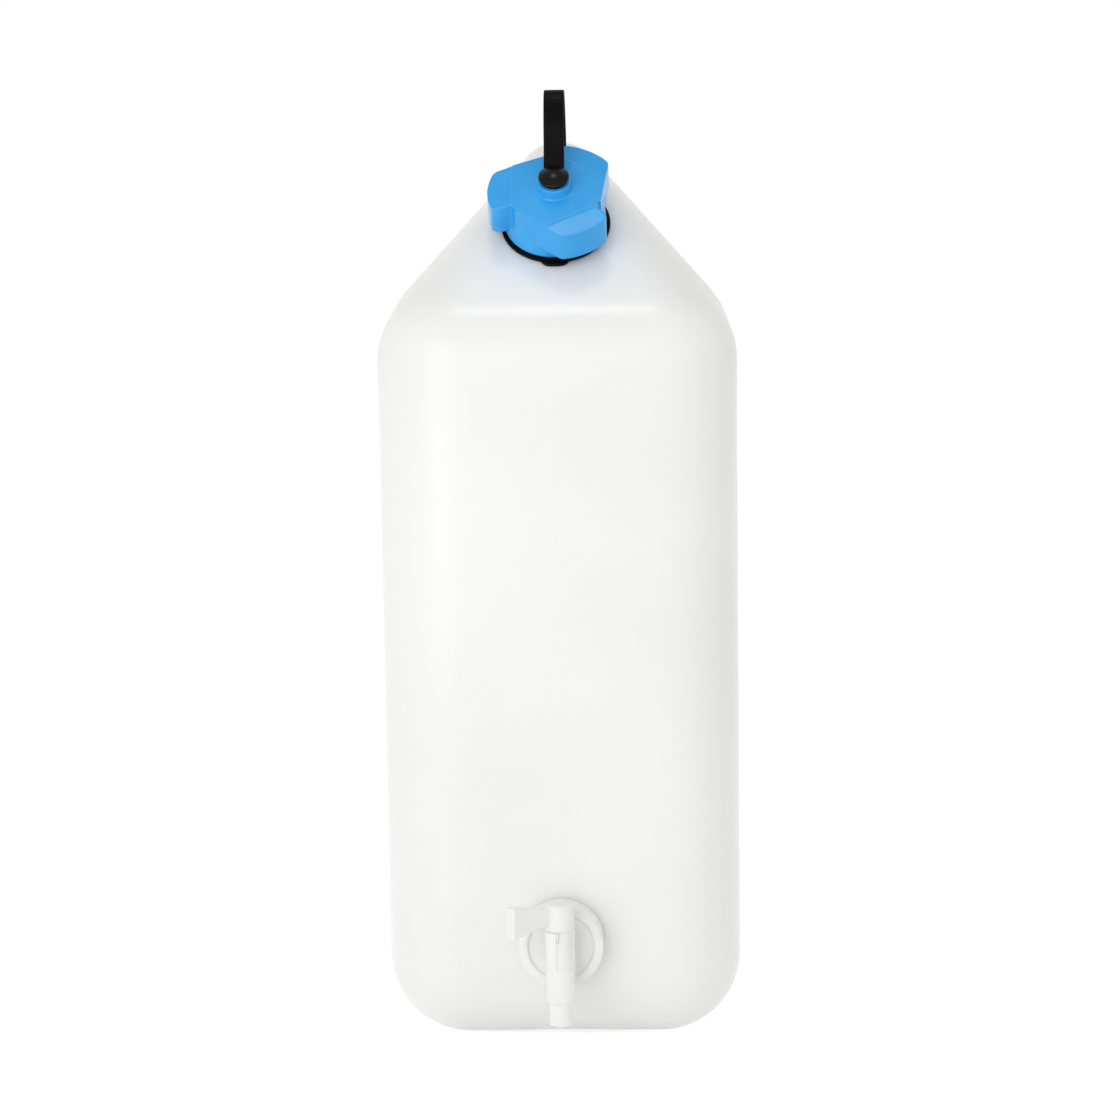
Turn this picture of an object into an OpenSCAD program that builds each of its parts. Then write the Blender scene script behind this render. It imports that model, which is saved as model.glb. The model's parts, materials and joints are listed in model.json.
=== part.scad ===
// A 20 litre water container with a screw cap on a leash and a turn tap at the foot.
// Z is up, the tap and the cap face -Y, and the origin lies under the middle of its box.

/* [Container] */
// Width of the container, side to side
body_w = 175; // [165:1:200]
// Depth of the container, from its front face to its back
body_d = 330; // [310:1:370]
// Height of the ridge that carries the handle
body_h = 441; // [431:1:456]
// Thickness of the blown wall
wall = 2; // [1.6:0.1:2.6]
// Radius of the upright corners and of the bottom edge
corner_r = 39; // [34:1:44]
// Height of the gable: how far the side walls' meeting with it lies below the ridge
gable_h = 88; // [84:1:94]
// Radius of the rounded eaves
eave_r = 55; // [46:1:60]
// Radius of the rounded ridge
ridge_r = 22; // [18:1:24]
// Height of the front shoulder: how far its front edge lies below the ridge
shoulder_h = 91; // [86:1:96]
// Slope of the front shoulder, which is also the tilt of the filler neck
hip_slope = 44; // [41:1:47]
// Distance from the back face to the centre of the ridge's rounded end
ridge_back = 50; // [40:1:60]
// Width of the shallow channel along the base
channel_w = 80; // [60:1:90]
// Depth of that channel at its middle
channel_depth = 2.5; // [1.5:0.1:4]

/* [Handle] */
// Distance from the front face to the finger opening
grip_front = 142; // [138:1:150]
// Distance from the back face to the finger opening
grip_back = 70; // [66:1:80]
// Height of the finger opening under the bar
grip_h = 38; // [30:1:42]
// Height of the bar at the middle of the ridge
bar_h = 30; // [26:1:34]
// Width of the bar
bar_w = 42; // [36:1:48]
// Radius at the corners of the finger opening
grip_r = 12; // [8:1:14]

/* [Filler neck] */
// Distance of the neck's foot behind the front face
neck_back = 50.2; // [48:0.2:54]
// Outer radius of the neck without its thread
neck_r = 18.6; // [17.6:0.2:19.6]
// Wall of the neck
neck_wall = 2.4; // [2:0.1:3.2]

/* [Cap] */
// Height of the cap from its lower edge to its flat top
cap_h = 22.3; // [20:0.1:25]
// Thickness of the cap's top
cap_top_t = 2.4; // [2:0.1:3]
// Wall of the cap's skirt at its top
cap_wall = 2.5; // [2:0.1:3]
// How much wider the skirt is at its foot
skirt_flare = 2.1; // [1:0.1:2.5]
// Room between the neck and the cap for the thread
thread_room = 1.7; // [1.5:0.1:2]
// How far the three grip lobes stand out from the skirt
lobe_out = 7.4; // [6:0.2:9]
// Height of the lobes' lower edge above the cap's lower edge
lobe_foot = 5.8; // [3:0.2:8]
// Radius of the corner between a lobe's flank and its rim
lobe_corner_r = 4; // [2:0.2:5]
// Radius of each lobe's blunt end
lobe_end_r = 4.2; // [3:0.1:4.5]
// Drop of a lobe's top towards its rim
lobe_drop = 1.5; // [1:0.1:3]
// Radius of the middle boss at its foot
boss_foot_r = 9; // [8.5:0.1:10]
// Radius of the middle boss at its top
boss_top_r = 8; // [7.5:0.1:8.5]
// Height of the middle boss
boss_h = 4.8; // [4:0.2:7]
// Thickness of the sealing disc in the cap
seal_t = 1.5; // [1:0.1:2.5]

/* [Leash] */
// Thickness of the ring under the cap
ring_t = 1.8; // [1.4:0.1:2.4]
// Width of the ring from bore to rim
ring_w = 7.3; // [6.4:0.1:8.2]
// Width of the strap
strap_w = 9.9; // [8:0.1:11]
// Thickness of the strap
strap_t = 1.8; // [1.4:0.1:2.2]
// Width of the lug that the ring has at the front
lug_w = 14; // [10:1:16]
// How far the lug stands out from the ring
lug_out = 2.2; // [1.4:0.2:4]
// Radius of the button on the cap
button_r = 7.4; // [7:0.1:8.4]
// Height of the button's dome
button_h = 2.6; // [2:0.1:3.5]
// Radius of the button's stud
stud_r = 3; // [2.5:0.1:3.5]

/* [Tap] */
// Height of the outlet's axis
tap_z = 56; // [54:1:60]
// Outer radius of the moulded outlet
outlet_r = 17.5; // [16:0.5:18.5]
// Bore radius of the moulded outlet
outlet_bore_r = 13; // [11:0.5:14]
// Length of the moulded outlet
outlet_len = 8; // [6:0.5:10]
// Thickness of the tap's gasket
gasket_t = 2; // [1.5:0.1:3]
// Thickness of the flange on the tap
flange_t = 2.5; // [2:0.1:3.5]
// Wall of the nut's skirt
nut_wall = 2.4; // [2:0.1:3]
// Thickness of the nut's web
nut_web = 2; // [1.6:0.1:3]
// How far the nut's rim stands out from its web
nut_rim = 2; // [1:0.1:3]
// Width of the nut's raised rim
nut_rim_w = 4.4; // [3:0.2:5]
// Outer radius of the tap's inlet tube
inlet_r = 6.2; // [5.6:0.1:6.6]
// Bore radius of the inlet tube
inlet_bore_r = 3.2; // [2.6:0.1:3.6]
// Distance of the barrel's axis in front of the front face
tap_out = 31; // [29:1:36]
// Radius of the plug that turns in the barrel
plug_r = 4.9; // [4.6:0.1:5.4]
// Wall of the barrel around the plug
barrel_wall = 2.1; // [2:0.1:2.6]
// Depth of the relief in the barrel's front, in which the stop lug travels
relief_depth = 0.9; // [0.7:0.1:1.1]
// Top of the barrel above the outlet's axis
barrel_up = 12.6; // [12:0.2:15]
// Foot of the barrel below the outlet's axis
barrel_down = 21.6; // [18:0.2:23]
// Outer radius of the nozzle
nozzle_r = 5.4; // [5:0.1:6]
// Bore radius of the nozzle
nozzle_bore_r = 3.5; // [3:0.1:3.8]
// Length of the nozzle below the barrel
nozzle_len = 11.4; // [10:0.2:15]
// Turn of the lever from shut to open
lever_turn = 90; // [60:5:90]

/* [Lever] */
// Length of the lever from the barrel's axis
lever_len = 29; // [26:0.5:34]
// Height of the lever's blade where it leaves its head
lever_root_h = 8; // [6:0.2:9]
// Height of the lever's blade at its end
lever_end_h = 15.7; // [12:0.1:18]
// Thickness of the blade where it leaves its head
lever_root_t = 3.5; // [3:0.1:5]
// Thickness of the blade at its end
lever_end_t = 7; // [5:0.2:8]
// Radius of the round head
head_r = 6.9; // [6.6:0.1:7.4]
// Height of the round head
head_h = 12.8; // [12.6:0.1:15]
// How far the lever points forward of square when shut
lever_forward = 38; // [20:1:45]

/* [Hidden] */
$fn = 64;
hull_fn = 32;
overcut = 1;       // how far a cutting shape runs past the surface that it opens
joint_gap = 0.3;   // free gap between faces that move past each other
fit_gap = 0.05;    // radial play of a running fit
rest_gap = 0.1;    // gap left where a seal or ring lies on its seat

natural = "#f1f1e9";
blue = "#4a9de0";
black = "#1c1c1c";
white = "#f4f4f1";
rubber = "#3a3a3a";

// The front face lies behind the middle of the box by the tap's reach
front_reach = tap_out + lever_len * sin(lever_forward) + lever_end_t / 2 * cos(lever_forward);
face_y = -(body_d - front_reach) / 2;

// Ball centres of the container's form: each ball touches the planes that meet there
ridge_z = body_h - ridge_r;
eave_z = body_h - gable_h;
hip_z = body_h - shoulder_h;
gable_slope = atan2(ridge_z - eave_z, body_w / 2) + asin(ridge_r / norm([body_w / 2, ridge_z - eave_z]));
function under_gable(r) = eave_z + r * tan(gable_slope) - r / cos(gable_slope);
function under_hip(r, back) = hip_z + back * tan(hip_slope) - r / cos(hip_slope);
function behind_hip(r, z) = (z + r / cos(hip_slope) - hip_z) / tan(hip_slope);
front_corner_z = min(under_hip(corner_r, corner_r), under_gable(corner_r));
back_corner_z = under_gable(corner_r);
eave_ball_z = under_gable(eave_r);
eave_ball_front = max(eave_r, behind_hip(eave_r, eave_ball_z));
ridge_front = behind_hip(ridge_r, ridge_z);

channel_r = (pow(channel_w / 2, 2) + pow(channel_depth, 2)) / (2 * channel_depth);
grip_top = body_h - bar_h;
grip_len = body_d - grip_front - grip_back;

// Heights along the neck's axis, from the shoulder outwards
cap_z = rest_gap + ring_t + joint_gap;
cap_top_z = cap_z + cap_h;
seal_z = cap_top_z - cap_top_t - seal_t;
neck_h = seal_z - rest_gap;
neck_sink = neck_r / 2; // its foot reaches in to meet the shoulder where that curves away
boss_z = cap_top_z + boss_h;
eye_z = boss_z + joint_gap;
button_z = eye_z + strap_t + rest_gap;
stud_len = boss_h;
cap_bore_r = neck_r + thread_room;
skirt_r = cap_bore_r + cap_wall;
skirt_foot_r = skirt_r + skirt_flare;
lobe_r = skirt_foot_r + lobe_out;
ring_bore_r = neck_r + 0.7;
ring_r = ring_bore_r + ring_w;
eye_r = button_r - 0.6;

// Places along the outlet's axis, from the front face outwards
gasket_s = outlet_len;
flange_s = gasket_s + gasket_t;
web_s = flange_s + flange_t;
nut_bore_r = outlet_r + joint_gap;
nut_r = nut_bore_r + nut_wall;
nut_front = web_s + nut_web + nut_rim;
flange_r = nut_bore_r - 1.2;

barrel_r = plug_r + fit_gap + barrel_wall;
relief_r = barrel_r - relief_depth;
plug_foot = -13.7;                 // foot of the plug, from the outlet's axis
relief_foot = -5.6;                // foot of the relief in the barrel's front
head_z = barrel_up + joint_gap;
blade_z = head_z + 7.5;            // middle height of the lever's blade
lever_dir = 180 + lever_forward;
stop_start = 258;                  // where the relief begins, seen from above
stop_lug = 8;                      // width of the lever's stop lug in degrees
stop_lug_h = 5;                    // how far that lug hangs below the head
stop_play = 1;                     // play at each end of the relief in degrees
stop_end = stop_start + lever_turn + stop_lug + 2 * stop_play;

function polar(r, a) = [r * cos(a), r * sin(a)];
function arc(centre, r, a0, a1, n) = [for (k = [0 : n]) centre + polar(r, a0 + (a1 - a0) * k / n)];

// Places the neck's own frame: Z outwards along its axis, Y up the shoulder
module at_neck() {
    translate([0, face_y + neck_back, hip_z + neck_back * tan(hip_slope)])
        rotate([hip_slope, 0, 0]) children();
}

// Places the outlet's own frame: Z out of the front face, Y up
module at_outlet() {
    translate([0, face_y, tap_z]) rotate([90, 0, 0]) children();
}

// Places the barrel's own frame: Z up its axis, from the height of the outlet
module at_barrel() {
    translate([0, face_y - tap_out, tap_z]) children();
}

module tube(r, bore_r, z, len) {
    translate([0, 0, z]) difference() {
        cylinder(r = r, h = len);
        translate([0, 0, -overcut]) cylinder(r = bore_r, h = len + 2 * overcut);
    }
}

// A ball with points exactly at its top, foot and sides
module ball(r) {
    rotate_extrude($fn = hull_fn) intersection() {
        circle(r = r, $fn = hull_fn);
        translate([0, -r]) square([r, 2 * r]);
    }
}

module ball_pair(r, inset, inward, back, z) {
    for (side = [-1, 1])
        translate([side * (body_w / 2 - inward), face_y + back, z]) ball(r - inset);
}

// The blown form, with its surface drawn in by inset
module form(inset) {
    hull() {
        ball_pair(corner_r, inset, corner_r, corner_r, corner_r);
        ball_pair(corner_r, inset, corner_r, body_d - corner_r, corner_r);
        ball_pair(corner_r, inset, corner_r, corner_r, front_corner_z);
        ball_pair(corner_r, inset, corner_r, body_d - corner_r, back_corner_z);
        ball_pair(eave_r, inset, eave_r, eave_ball_front, eave_ball_z);
        ball_pair(eave_r, inset, eave_r, body_d - eave_r, eave_ball_z);
        for (back = [ridge_front, body_d - ridge_back])
            translate([0, face_y + back, ridge_z]) ball(ridge_r - inset);
    }
}

module rounded_rect(size, r) {
    translate([r, 0]) square([size[0] - 2 * r, size[1]]);
    translate([0, r]) square([size[0], size[1] - 2 * r]);
    for (x = [r, size[0] - r], y = [r, size[1] - r]) translate([x, y]) circle(r = r);
}

// The finger opening under the bar, and the flanks cut away beside it, grown by a wall
module grip_gap(grow) {
    low = grip_top - grip_h - grow;
    start = face_y + grip_front - grow;
    len = grip_len + 2 * grow;
    translate([-body_w / 2, start, low]) rotate([90, 0, 90])
        linear_extrude(body_w) rounded_rect([len, grip_h + 2 * grow], grip_r + grow);
    for (side = [-1, 1])
        translate([side * (body_w / 2 + bar_w / 2 - grow), start + len / 2, grip_top - grip_h / 2 + body_h / 2])
            cube([body_w, len, body_h], center = true);
}

module base_channel(grow) {
    translate([0, face_y - overcut, channel_depth - channel_r]) rotate([-90, 0, 0])
        cylinder(r = channel_r + grow, h = body_d + 2 * overcut, $fn = 128);
}

module container_body() {
    color(natural) difference() {
        union() {
            form(0);
            at_neck() translate([0, 0, -neck_sink]) cylinder(r = neck_r, h = neck_h + neck_sink);
            at_outlet() translate([0, 0, -wall / 2]) cylinder(r = outlet_r, h = outlet_len + wall / 2);
        }
        difference() {
            form(wall);
            grip_gap(wall);
            base_channel(wall);
        }
        grip_gap(0);
        base_channel(0);
        at_neck() translate([0, 0, -neck_sink - overcut])
            cylinder(r = neck_r - neck_wall, h = neck_h + neck_sink + 2 * overcut);
        at_outlet() translate([0, 0, -3 * wall]) cylinder(r = outlet_bore_r, h = outlet_len + 3 * wall + overcut);
    }
}

// One grip lobe in plan: a straight flank that rises from the skirt, the rim and a blunt end
flank_r = skirt_r - 0.3;
flank_turn = 21;
corner_turn = flank_turn + acos((flank_r - lobe_corner_r) / (lobe_r - lobe_corner_r));
lobe_end = 105;
module lobe_outline() {
    end_centre = polar(lobe_r - lobe_end_r, lobe_end);
    polygon(concat([[0, 0], polar(flank_r, flank_turn)],
                   arc(polar(lobe_r - lobe_corner_r, corner_turn), lobe_corner_r, flank_turn, corner_turn, 5),
                   arc([0, 0], lobe_r, corner_turn + 4, lobe_end, 7),
                   arc(end_centre, lobe_end_r, lobe_end + 15, lobe_end + 90, 5),
                   [polar(skirt_r - 4, lobe_end) + polar(lobe_end_r, lobe_end + 90)]));
}

// The hollow under a lobe, which keeps the moulding an even thickness
module lobe_pocket() {
    along_flank = polar(flank_r - cap_wall, flank_turn);
    intersection() {
        difference() {
            circle(r = lobe_r - cap_wall);
            circle(r = skirt_foot_r);
        }
        polygon([[0, 0], along_flank, along_flank + polar(2 * lobe_r, flank_turn + 90),
                 polar(2 * lobe_r, lobe_end)]);
    }
}

module cap() {
    lobe_starts = [-27, 93, 213];
    platform = skirt_r - 2.3;
    fall = atan2(lobe_drop, lobe_r - platform);
    color(blue) at_neck() difference() {
        union() {
            translate([0, 0, cap_z]) cylinder(r1 = skirt_foot_r, r2 = skirt_r, h = cap_h);
            translate([0, 0, cap_z + lobe_foot]) linear_extrude(cap_h - lobe_foot)
                for (a = lobe_starts) rotate(a) lobe_outline();
            translate([0, 0, cap_top_z - overcut])
                cylinder(r1 = boss_foot_r, r2 = boss_top_r, h = boss_h + overcut);
        }
        for (a = lobe_starts) {
            rotate(a + 87) translate([platform, -lobe_r, cap_top_z]) rotate([0, fall, 0])
                translate([-3, 0, 0]) cube([2 * lobe_r, 2 * lobe_r, cap_h]);
            rotate(a) translate([0, 0, cap_z + lobe_foot - overcut])
                linear_extrude(cap_h - lobe_foot - lobe_drop - cap_top_t + overcut) lobe_pocket();
        }
        translate([0, 0, cap_z - overcut])
            cylinder(r = cap_bore_r, h = cap_h - cap_top_t + overcut);
        translate([0, 0, boss_z - stud_len]) cylinder(r = stud_r + fit_gap, h = stud_len + overcut);
    }
}

module cap_seal() {
    color(white) at_neck() translate([0, 0, seal_z]) cylinder(r = cap_bore_r - joint_gap, h = seal_t);
}

// Ring round the neck, its front lug and the tab that the strap stands on
tab_end = lobe_r + 5.6;
strap_foot_z = rest_gap + ring_t + joint_gap + strap_t / 6;
module leash_ring() {
    lug_round = 4.5;
    color(black) at_neck() translate([0, 0, rest_gap]) linear_extrude(ring_t) difference() {
        union() {
            circle(r = ring_r);
            translate([-lug_w / 2, -ring_r - lug_out]) rounded_rect([lug_w, 2 * lug_round], lug_round);
            translate([-strap_w / 2, ring_bore_r + 2]) square([strap_w, tab_end - ring_bore_r - 2]);
        }
        circle(r = ring_bore_r);
    }
}

// The strap's middle line in the neck's frame: up the shoulder, outwards
strap_line = [[0, eye_z + strap_t / 2], [4, eye_z + strap_t / 2], [button_r + 0.6, eye_z + strap_t / 2],
              [button_r + 4.4, eye_z + strap_t / 2 + 2.4], [19, 38], [25, 43], [33, 47], [40, 48.3],
              [45, 45.6], [47.4, 38.5], [46.8, 27.5], [43.5, 14], [lobe_r + 4.6, strap_foot_z]];
strap_steps = 5;
function spline(p, i, t) =
    let (a = p[max(i - 1, 0)], b = p[i], c = p[i + 1], d = p[min(i + 2, len(p) - 1)])
    0.5 * (2 * b + (c - a) * t + (2 * a - 5 * b + 4 * c - d) * t * t + (3 * b - a - 3 * c + d) * t * t * t);
strap_path = [for (i = [0 : len(strap_line) - 2], k = [0 : strap_steps - 1])
              spline(strap_line, i, k / strap_steps), strap_line[len(strap_line) - 1]];
function strap_side(i, side) =
    let (n = len(strap_path) - 1,
         way = strap_path[min(i + 1, n)] - strap_path[max(i - 1, 0)],
         across = [-way[1], way[0]] / norm(way))
    strap_path[i] + side * strap_t / 2 * across;

module leash_strap() {
    n = len(strap_path) - 1;
    color(black) at_neck() difference() {
        union() {
            translate([-strap_w / 2, 0, 0]) rotate([90, 0, 90]) linear_extrude(strap_w)
                polygon(concat([for (i = [0 : n]) strap_side(i, 1)], [for (i = [n : -1 : 0]) strap_side(i, -1)]));
            translate([0, 0, eye_z]) cylinder(r = eye_r, h = strap_t);
        }
        translate([0, 0, eye_z - overcut]) cylinder(r = stud_r + rest_gap, h = strap_t + 2 * overcut);
    }
}

module leash_button() {
    dome_r = (pow(button_r, 2) + pow(button_h, 2)) / (2 * button_h);
    color(black) at_neck() {
        intersection() {
            translate([0, 0, button_z + button_h - dome_r]) sphere(r = dome_r);
            translate([0, 0, button_z]) cylinder(r = button_r + overcut, h = button_h + overcut);
        }
        translate([0, 0, boss_z - stud_len + joint_gap])
            cylinder(r = stud_r, h = button_z + button_h / 2 - boss_z + stud_len - joint_gap);
    }
}

module tap_nut() {
    color(white) at_outlet() difference() {
        translate([0, 0, 2 * joint_gap]) cylinder(r = nut_r, h = nut_front - 2 * joint_gap);
        cylinder(r = nut_bore_r, h = web_s);
        cylinder(r = inlet_r + joint_gap, h = nut_front + overcut);
        translate([0, 0, web_s + nut_web]) cylinder(r = nut_r - nut_rim_w, h = nut_rim + overcut);
    }
}

module tap_gasket() {
    color(rubber) at_outlet() tube(flange_r, inlet_bore_r + 3, gasket_s, gasket_t);
}

module tap_body() {
    barrel_h = barrel_up + barrel_down;
    color(white) difference() {
        union() {
            at_outlet() translate([0, 0, flange_s]) cylinder(r = flange_r, h = flange_t);
            at_outlet() translate([0, 0, flange_s]) cylinder(r = inlet_r, h = tap_out - flange_s);
            at_barrel() translate([0, 0, -barrel_down]) cylinder(r = barrel_r, h = barrel_h);
            at_barrel() translate([0, 0, -barrel_down - nozzle_len]) cylinder(r = nozzle_r, h = nozzle_len + 1);
        }
        at_outlet() translate([0, 0, flange_s - overcut]) cylinder(r = inlet_bore_r, h = tap_out - flange_s + overcut);
        at_barrel() translate([0, 0, plug_foot - joint_gap])
            cylinder(r = plug_r + fit_gap, h = barrel_up - plug_foot + joint_gap + overcut);
        at_barrel() translate([0, 0, -barrel_down - nozzle_len - overcut])
            cylinder(r = nozzle_bore_r, h = barrel_down + nozzle_len + overcut);
        at_barrel() translate([0, 0, relief_foot]) linear_extrude(barrel_up - relief_foot + overcut)
            difference() {
                polygon([[0, 0], polar(2 * barrel_r, stop_start), polar(2 * barrel_r, (stop_start + stop_end) / 2),
                         polar(2 * barrel_r, stop_end)]);
                circle(r = relief_r);
            }
    }
}

// The blade grows taller and thicker from its root to its end
module lever_blade() {
    root = 4;
    rotate(lever_dir) translate([0, 0, blade_z]) intersection() {
        translate([0, lever_end_t, 0]) rotate([90, 0, 0]) linear_extrude(2 * lever_end_t)
            polygon([[root, -lever_root_h / 2], [head_r, -lever_root_h / 2], [lever_len, -lever_end_h / 2],
                     [lever_len, lever_end_h / 2], [head_r, lever_root_h / 2], [root, lever_root_h / 2]]);
        translate([0, 0, -lever_end_h]) linear_extrude(2 * lever_end_h)
            polygon([[root, -lever_root_t / 2], [head_r, -lever_root_t / 2], [lever_len, -lever_end_t / 2],
                     [lever_len, lever_end_t / 2], [head_r, lever_root_t / 2], [root, lever_root_t / 2]]);
    }
}

module tap_lever() {
    head_round = 1.4;
    lug_gap = 0.15;
    color(white) at_barrel() difference() {
        union() {
            translate([0, 0, plug_foot]) cylinder(r = plug_r, h = head_z - plug_foot);
            translate([0, 0, head_z]) rotate_extrude() {
                square([head_r, head_h - head_round]);
                square([head_r - head_round, head_h]);
                intersection() {
                    translate([head_r - head_round, head_h - head_round]) circle(r = head_round);
                    translate([0, 0]) square([head_r, head_h]);
                }
            }
            lever_blade();
            translate([0, 0, head_z - stop_lug_h]) linear_extrude(stop_lug_h + 1) intersection() {
                difference() {
                    circle(r = barrel_r - lug_gap);
                    circle(r = relief_r + lug_gap);
                }
                polygon([[0, 0], polar(2 * barrel_r, stop_start + stop_play),
                         polar(2 * barrel_r, stop_start + stop_play + stop_lug)]);
            }
        }
        translate([0, 0, plug_foot - overcut]) cylinder(r = nozzle_bore_r, h = inlet_bore_r + 1 - plug_foot + overcut);
        rotate(90 - lever_turn) rotate([0, 90, 0]) cylinder(r = inlet_bore_r, h = 2 * plug_r);
    }
}

container_body();
cap();
cap_seal();
leash_ring();
leash_strap();
leash_button();
tap_nut();
tap_gasket();
tap_body();
tap_lever();
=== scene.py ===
# A 20 litre water container of natural polyethylene with a blue screw cap on a black leash and a
# white quarter-turn tap. Every length is in metres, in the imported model's own frame.
import json
from math import acos, asin, atan2, cos, hypot, pi, radians, sin, tan

import bmesh
import bpy
from mathutils import Matrix, Vector


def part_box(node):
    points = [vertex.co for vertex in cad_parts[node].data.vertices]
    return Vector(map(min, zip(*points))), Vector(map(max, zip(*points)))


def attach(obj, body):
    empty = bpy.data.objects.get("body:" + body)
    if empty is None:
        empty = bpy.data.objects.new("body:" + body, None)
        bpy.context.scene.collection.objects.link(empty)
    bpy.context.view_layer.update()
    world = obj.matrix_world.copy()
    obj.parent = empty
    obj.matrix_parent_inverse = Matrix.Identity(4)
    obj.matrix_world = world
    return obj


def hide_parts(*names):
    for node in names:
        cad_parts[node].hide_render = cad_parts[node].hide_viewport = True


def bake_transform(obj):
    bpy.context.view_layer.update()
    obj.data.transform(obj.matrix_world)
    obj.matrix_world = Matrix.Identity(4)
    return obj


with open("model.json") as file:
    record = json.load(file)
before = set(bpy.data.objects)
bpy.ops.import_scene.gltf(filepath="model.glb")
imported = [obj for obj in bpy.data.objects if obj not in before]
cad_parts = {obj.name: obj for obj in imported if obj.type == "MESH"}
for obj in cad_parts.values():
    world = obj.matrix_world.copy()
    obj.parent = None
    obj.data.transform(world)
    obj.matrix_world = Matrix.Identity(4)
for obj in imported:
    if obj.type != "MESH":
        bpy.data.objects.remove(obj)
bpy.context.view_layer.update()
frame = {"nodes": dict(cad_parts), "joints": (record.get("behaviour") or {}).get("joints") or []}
MM = 0.001

# Camera: a little to the right of the container's front and above its middle, looking slightly
# down at it through a long lens.
body_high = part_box("container_body")[1]
back_y = body_high[1]
front_y = back_y - 330 * MM
look_at = Vector((1.5 * MM, front_y, 240.4 * MM))
camera_distance = 1200 * MM
camera_pitch = radians(7)
camera_yaw = radians(2.06)
camera_roll = radians(0.81)
toward = Vector((sin(camera_yaw) * cos(camera_pitch), -cos(camera_yaw) * cos(camera_pitch),
                 sin(camera_pitch)))
roll = Matrix.Rotation(-camera_roll, 3, "Z").to_quaternion()
camera = bpy.data.objects.new("camera", bpy.data.cameras.new("camera"))
bpy.context.scene.collection.objects.link(camera)
camera.location = look_at + camera_distance * toward
camera.rotation_mode = "QUATERNION"
camera.rotation_quaternion = toward.to_track_quat("Z", "Y") @ roll
camera.data.lens = 81.2
camera.data.sensor_width = 36
camera.data.clip_end = 20
bpy.context.scene.camera = camera
bpy.context.scene.view_settings.view_transform = "Standard"


# Floor and light: a white floor in a white surround that darkens overhead, a soft box at the left
# front and a small one overhead. The camera, gloss and clear pieces see the floor and the
# surround's lower part as plain white.
def srgb(hex_colour):
    channels = [int(hex_colour[i:i + 2], 16) / 255 for i in (1, 3, 5)]
    linear = [c / 12.92 if c <= 0.04045 else ((c + 0.055) / 1.055) ** 2.4 for c in channels]
    return (*linear, 1)


# A node with its settings. An input is a value, or a socket that it is linked to.
def add_node(tree, kind, settings=None, inputs=None):
    node = tree.nodes.new(kind)
    for name, value in (settings or {}).items():
        setattr(node, name, value)
    for name, value in (inputs or {}).items():
        if isinstance(value, bpy.types.NodeSocket):
            tree.links.new(value, node.inputs[name])
        else:
            node.inputs[name].default_value = value
    return node


def new_material(name):
    material = bpy.data.materials.new(name)
    material.use_nodes = True
    tree = material.node_tree
    tree.nodes.clear()
    return material, tree


# One for the rays that show a thing, and zero for those that light others with it
def view_ray(tree):
    path = add_node(tree, "ShaderNodeLightPath")
    seen = add_node(tree, "ShaderNodeMath", {"operation": "MAXIMUM"},
                    {0: path.outputs["Is Camera Ray"], 1: path.outputs["Is Glossy Ray"]})
    return add_node(tree, "ShaderNodeMath", {"operation": "MAXIMUM"},
                    {0: seen.outputs[0], 1: path.outputs["Is Transmission Ray"]}).outputs[0]


white = (1, 1, 1, 1)
surround_light = 0.98
overhead_light = 0.42
world = bpy.data.worlds.new("white_surround")
world.use_nodes = True
tree = world.node_tree
tree.nodes.clear()
way_out = add_node(tree, "ShaderNodeTexCoord").outputs["Generated"]
height = add_node(tree, "ShaderNodeSeparateXYZ", None, {"Vector": way_out}).outputs["Z"]
ceiling = add_node(tree, "ShaderNodeMapRange", {"interpolation_type": "SMOOTHSTEP"},
                   {"Value": height, "From Min": 0.25, "From Max": 0.95,
                    "To Min": 1.0, "To Max": overhead_light})
dimmed = add_node(tree, "ShaderNodeMath", {"operation": "MULTIPLY"},
                  {0: ceiling.outputs[0], 1: surround_light})
surround = add_node(tree, "ShaderNodeBackground", None,
                    {"Color": white, "Strength": dimmed.outputs[0]})
surround_seen = add_node(tree, "ShaderNodeBackground", None,
                         {"Color": white, "Strength": ceiling.outputs[0]})
surround_mix = add_node(tree, "ShaderNodeMixShader", None, {
    0: view_ray(tree), 1: surround.outputs[0], 2: surround_seen.outputs[0]})
add_node(tree, "ShaderNodeOutputWorld", None, {"Surface": surround_mix.outputs[0]})
bpy.context.scene.world = world

floor_reach = 6
floor_glow = 0.66
floor_material, tree = new_material("white_floor")
floor_paint = add_node(tree, "ShaderNodeBsdfDiffuse", None, {"Color": srgb("#f7f7f7")})
floor_light = add_node(tree, "ShaderNodeEmission", None, {"Color": white, "Strength": floor_glow})
floor_both = add_node(tree, "ShaderNodeAddShader", None,
                      {0: floor_paint.outputs[0], 1: floor_light.outputs[0]})
floor_mix = add_node(tree, "ShaderNodeMixShader", None, {
    0: view_ray(tree), 1: floor_paint.outputs[0], 2: floor_both.outputs[0]})
add_node(tree, "ShaderNodeOutputMaterial", None, {"Surface": floor_mix.outputs[0]})
floor_mesh = bpy.data.meshes.new("floor")
floor_mesh.from_pydata([(-floor_reach, -floor_reach, 0), (floor_reach, -floor_reach, 0),
                        (floor_reach, floor_reach, 0), (-floor_reach, floor_reach, 0)],
                       [], [(0, 1, 2, 3)])
floor_mesh.materials.append(floor_material)
floor = bpy.data.objects.new("floor", floor_mesh)
bpy.context.scene.collection.objects.link(floor)


# A soft box that faces the container's middle. Angles count from the front and from the level.
def soft_box(name, azimuth, elevation, distance, width, height, watts):
    light = bpy.data.lights.new(name, "AREA")
    light.shape = "RECTANGLE"
    light.size = width
    light.size_y = height
    light.energy = watts
    lamp = bpy.data.objects.new(name, light)
    bpy.context.scene.collection.objects.link(lamp)
    direction = Vector((sin(azimuth) * cos(elevation), -cos(azimuth) * cos(elevation),
                        sin(elevation)))
    lamp.location = Vector((0, front_y, 240 * MM)) + distance * direction
    lamp.rotation_euler = direction.to_track_quat("Z", "Y").to_euler()


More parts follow.
